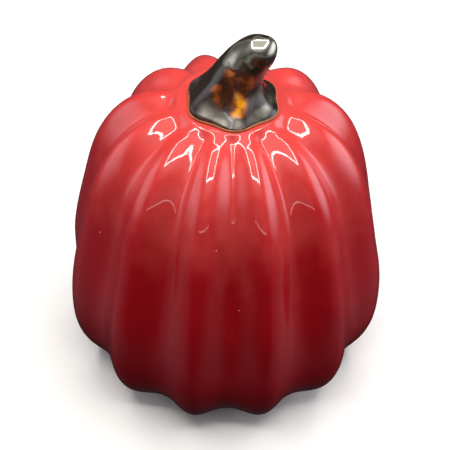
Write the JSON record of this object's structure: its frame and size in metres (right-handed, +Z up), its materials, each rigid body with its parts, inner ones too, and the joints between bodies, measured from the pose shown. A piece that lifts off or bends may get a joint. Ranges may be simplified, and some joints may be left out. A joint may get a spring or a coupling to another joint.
{
  "type": "ceramic pumpkin figure",
  "caption": "Small hollow glazed ceramic pumpkin with a ribbed red body and a bent dark stem, a tabletop ornament that stands on a flat foot ring.",
  "frame": {"origin": "centre of the foot, on the surface the figure stands on, under the middle of the crown", "axes": "+Z up through the crown; the front is towards -Y; the tip of the stem leans towards +X"},
  "size_m": [0.0831, 0.0837, 0.1007],
  "materials": {
    "red_glazed_body": "transparent red gloss glaze over pale earthenware",
    "brown_lustre_stem": "dark brown lustrous gloss glaze with amber patches",
    "bare_slip": "unglazed fired slip"
  },
  "bodies": {
    "root": {"body": "red_glazed_body", "stem": "brown_lustre_stem", "stem_slip_joint": "bare_slip"}
  },
  "joints": []
}
